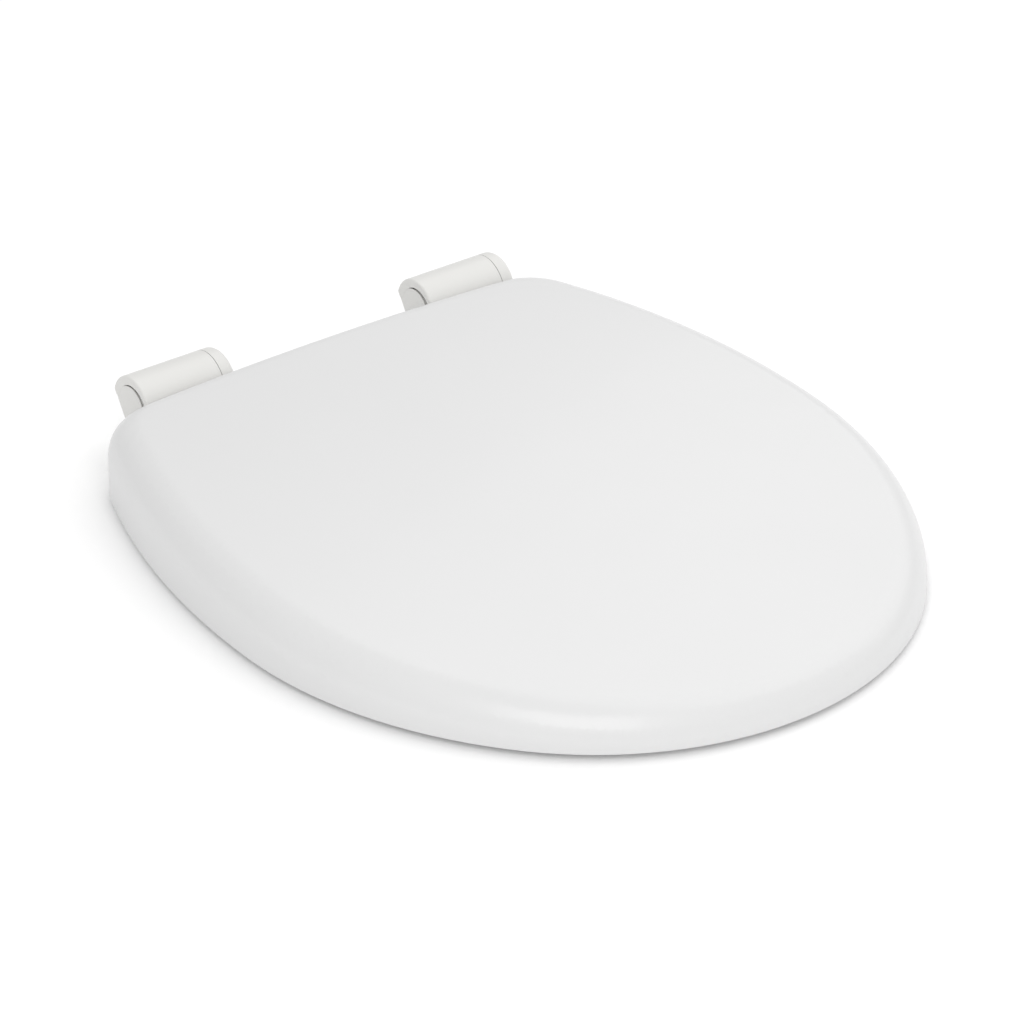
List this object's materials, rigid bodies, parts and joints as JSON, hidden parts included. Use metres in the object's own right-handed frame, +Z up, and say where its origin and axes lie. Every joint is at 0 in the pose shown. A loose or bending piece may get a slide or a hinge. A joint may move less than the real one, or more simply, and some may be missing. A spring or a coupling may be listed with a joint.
{
  "type": "toilet seat",
  "caption": "White plastic toilet seat with a deep wrap-over lid and a seat ring that both lift on two barrel hinges.",
  "frame": {"origin": "midway between the two fixing holes, on the bowl's top face", "axes": "+Z up, the seat's front toward -Y, +X to the right seen from the front"},
  "size_m": [0.37, 0.4335, 0.0496],
  "materials": {
    "shell_white": "gloss",
    "hinge_white": "satin",
    "buffer_white": "matte",
    "steel": "satin"
  },
  "bodies": {
    "hinge_base": {"left_hinge_post": "hinge_white", "right_hinge_post": "hinge_white", "left_hinge_pin": "steel", "right_hinge_pin": "steel"},
    "seat": {"seat_ring": "shell_white", "left_seat_arm": "hinge_white", "right_seat_arm": "hinge_white", "left_arm_screws": "steel", "right_arm_screws": "steel", "front_left_seat_buffer": "buffer_white", "front_right_seat_buffer": "buffer_white", "rear_left_seat_buffer": "buffer_white", "rear_right_seat_buffer": "buffer_white"},
    "lid": {"lid": "shell_white", "left_lid_leaf": "hinge_white", "right_lid_leaf": "hinge_white", "left_leaf_screws": "steel", "right_leaf_screws": "steel", "left_lid_buffer": "buffer_white", "right_lid_buffer": "buffer_white"}
  },
  "joints": [
    {"name": "seat_lift", "type": "hinge", "parent": "hinge_base", "child": "seat", "pos_m": [0, 0.031, 0.0326], "axis": [-1, 0, 0], "range_deg": [0, 96]},
    {"name": "lid_lift", "type": "hinge", "parent": "seat", "child": "lid", "pos_m": [0, 0.031, 0.0326], "axis": [-1, 0, 0], "range_deg": [0, 105]}
  ]
}
